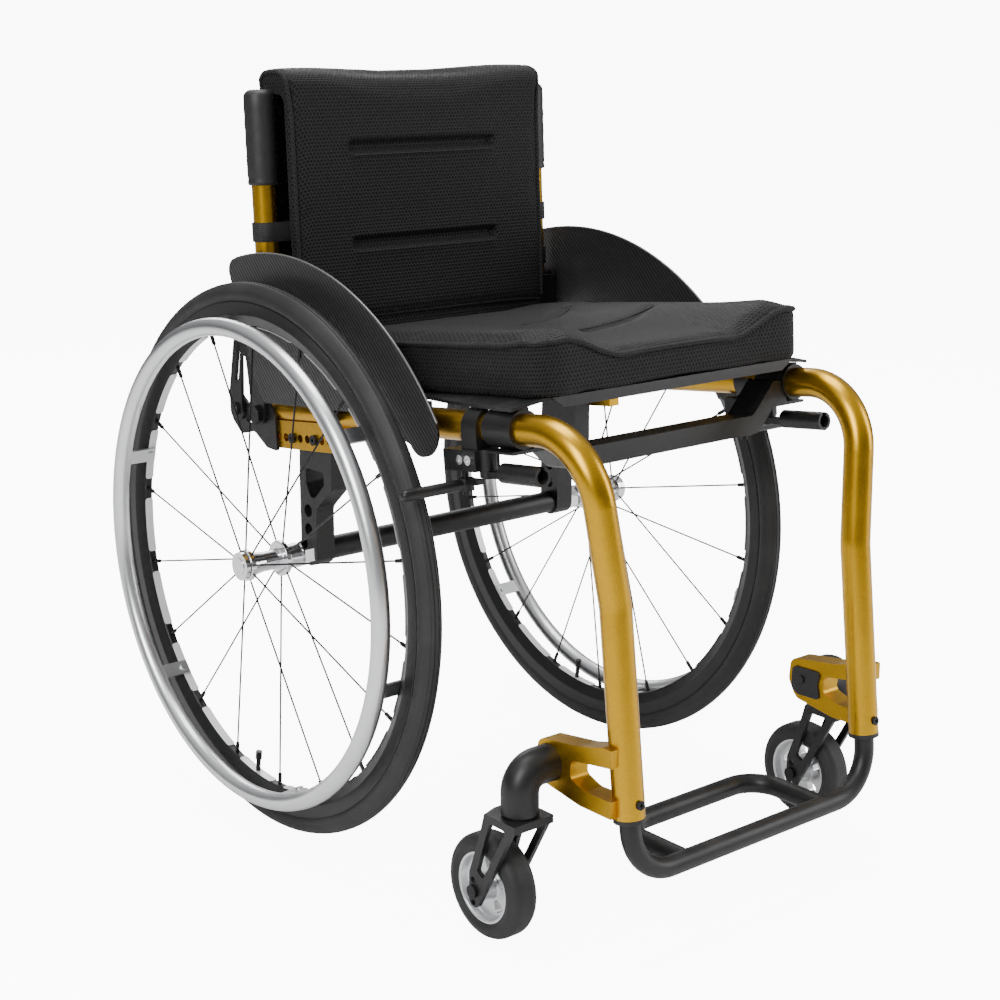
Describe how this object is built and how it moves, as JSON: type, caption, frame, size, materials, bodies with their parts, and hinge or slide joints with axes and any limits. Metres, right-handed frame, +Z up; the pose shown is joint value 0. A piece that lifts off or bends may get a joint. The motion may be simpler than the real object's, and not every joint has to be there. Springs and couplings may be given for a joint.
{
  "type": "manual wheelchair",
  "caption": "Rigid-frame manual wheelchair with spoked rear wheels and handrims, swivel casters, loop footrest, side guards, cushion and fold-down backrest.",
  "frame": {"origin": "on the floor, under the middle of the chair's overall length and width", "axes": "+X towards the user's left, -Y towards the front, +Z up"},
  "size_m": [0.563, 0.7947, 0.7963],
  "materials": {
    "gold_paint": "metallic pearl",
    "black_paint": "satin",
    "black_plastic": "matte",
    "dark_steel": "black oxide",
    "bright_steel": "polished",
    "chrome": "polished",
    "satin_aluminium": "satin",
    "tyre_rubber": "matte",
    "carbon": "woven, lacquered",
    "mesh_fabric": "spacer mesh",
    "webbing": "woven"
  },
  "bodies": {
    "frame": {"frame_tube_left": "gold_paint", "frame_tube_right": "gold_paint", "axle_pins": "chrome", "tube_collars": "black_plastic", "axle_rails": "gold_paint", "rail_bolts": "dark_steel", "axle_brackets": "black_paint", "axle_receivers": "chrome", "caster_arms": "gold_paint", "arm_covers": "black_plastic", "caster_housings": "black_paint", "stem_bearings": "bright_steel", "seat_mounts": "black_plastic", "brace_clamps": "black_paint", "frame_bolts": "dark_steel", "guard_clips": "black_plastic", "hinge_plates": "black_paint", "pivot_bolts": "dark_steel", "brake_bodies": "black_paint", "brake_screws": "bright_steel", "camber_tube": "black_paint", "footrest_bow": "black_paint", "footrest_loop": "black_paint", "seat_pan": "black_paint", "seat_cushion": "mesh_fabric", "cross_brace": "black_paint", "side_guard_left": "carbon", "side_guard_right": "carbon"},
    "backrest": {"swing_brackets": "black_paint", "back_canes": "gold_paint", "cane_sleeves": "mesh_fabric", "back_straps": "webbing", "back_pad": "mesh_fabric", "back_bar": "black_paint"},
    "rear_wheel_left": {"tyre_left": "tyre_rubber", "rim_left": "black_paint", "spokes_left": "dark_steel", "hub_left": "chrome", "handrim_left": "satin_aluminium", "handrim_tabs_left": "satin_aluminium"},
    "axle_button_left": {"axle_button_left": "chrome"},
    "caster_fork_left": {"caster_fork_left": "black_paint", "fork_bolt_left": "dark_steel"},
    "caster_wheel_left": {"caster_tyre_left": "tyre_rubber", "caster_hub_left": "satin_aluminium"},
    "brake_lever_left": {"brake_lever_left": "black_paint"},
    "brake_arm_left": {"brake_arm_left": "black_paint"},
    "rear_wheel_right": {"tyre_right": "tyre_rubber", "rim_right": "black_paint", "spokes_right": "dark_steel", "hub_right": "chrome", "handrim_right": "satin_aluminium", "handrim_tabs_right": "satin_aluminium"},
    "axle_button_right": {"axle_button_right": "chrome"},
    "caster_fork_right": {"caster_fork_right": "black_paint", "fork_bolt_right": "dark_steel"},
    "caster_wheel_right": {"caster_tyre_right": "tyre_rubber", "caster_hub_right": "satin_aluminium"},
    "brake_lever_right": {"brake_lever_right": "black_paint"},
    "brake_arm_right": {"brake_arm_right": "black_paint"}
  },
  "joints": [
    {"name": "rear_wheel_left_spin", "type": "hinge", "parent": "frame", "child": "rear_wheel_left", "pos_m": [0.237, 0.10235, 0.295], "axis": [1, 0, 0], "continuous": true},
    {"name": "axle_button_left_press", "type": "slide", "parent": "frame", "child": "axle_button_left", "axis": [-1, 0, 0], "range_m": [0, 0.003], "stiffness_N_per_m": 1500, "springref_m": -0.001},
    {"name": "caster_left_swivel", "type": "hinge", "parent": "frame", "child": "caster_fork_left", "pos_m": [0.223, -0.29565, 0.139], "axis": [0, 0, 1], "continuous": true},
    {"name": "caster_wheel_left_spin", "type": "hinge", "parent": "caster_fork_left", "child": "caster_wheel_left", "pos_m": [0.223, -0.25615, 0.0519], "axis": [1, 0, 0], "continuous": true},
    {"name": "brake_lever_left_swing", "type": "hinge", "parent": "frame", "child": "brake_lever_left", "pos_m": [0.191, -0.21209, 0.44345], "axis": [0, 0.1087, 0.9941], "range_deg": [0, 60]},
    {"name": "brake_arm_left_press", "type": "hinge", "parent": "frame", "child": "brake_arm_left", "pos_m": [0.191, -0.17901, 0.42404], "axis": [0, 0.1087, 0.9941], "range_deg": [0, 10]},
    {"name": "rear_wheel_right_spin", "type": "hinge", "parent": "frame", "child": "rear_wheel_right", "pos_m": [-0.237, 0.10235, 0.295], "axis": [1, 0, 0], "continuous": true},
    {"name": "axle_button_right_press", "type": "slide", "parent": "frame", "child": "axle_button_right", "axis": [1, 0, 0], "range_m": [0, 0.003], "stiffness_N_per_m": 1500, "springref_m": -0.001},
    {"name": "caster_right_swivel", "type": "hinge", "parent": "frame", "child": "caster_fork_right", "pos_m": [-0.223, -0.29565, 0.139], "axis": [0, 0, 1], "continuous": true},
    {"name": "caster_wheel_right_spin", "type": "hinge", "parent": "caster_fork_right", "child": "caster_wheel_right", "pos_m": [-0.223, -0.25615, 0.0519], "axis": [1, 0, 0], "continuous": true},
    {"name": "brake_lever_right_swing", "type": "hinge", "parent": "frame", "child": "brake_lever_right", "pos_m": [-0.191, -0.21209, 0.44345], "axis": [0, -0.1087, -0.9941], "range_deg": [0, 60]},
    {"name": "brake_arm_right_press", "type": "hinge", "parent": "frame", "child": "brake_arm_right", "pos_m": [-0.191, -0.17901, 0.42404], "axis": [0, -0.1087, -0.9941], "range_deg": [0, 10]},
    {"name": "backrest_fold", "type": "hinge", "parent": "frame", "child": "backrest", "pos_m": [0, 0.15935, 0.44], "axis": [1, 0, 0], "range_deg": [0, 50], "deforming": ["seat_cushion"]}
  ],
  "couplings": [
    {"joint": "brake_arm_left_press", "follows": "brake_lever_left_swing", "ratio": 0.165},
    {"joint": "brake_arm_right_press", "follows": "brake_lever_right_swing", "ratio": 0.165}
  ]
}
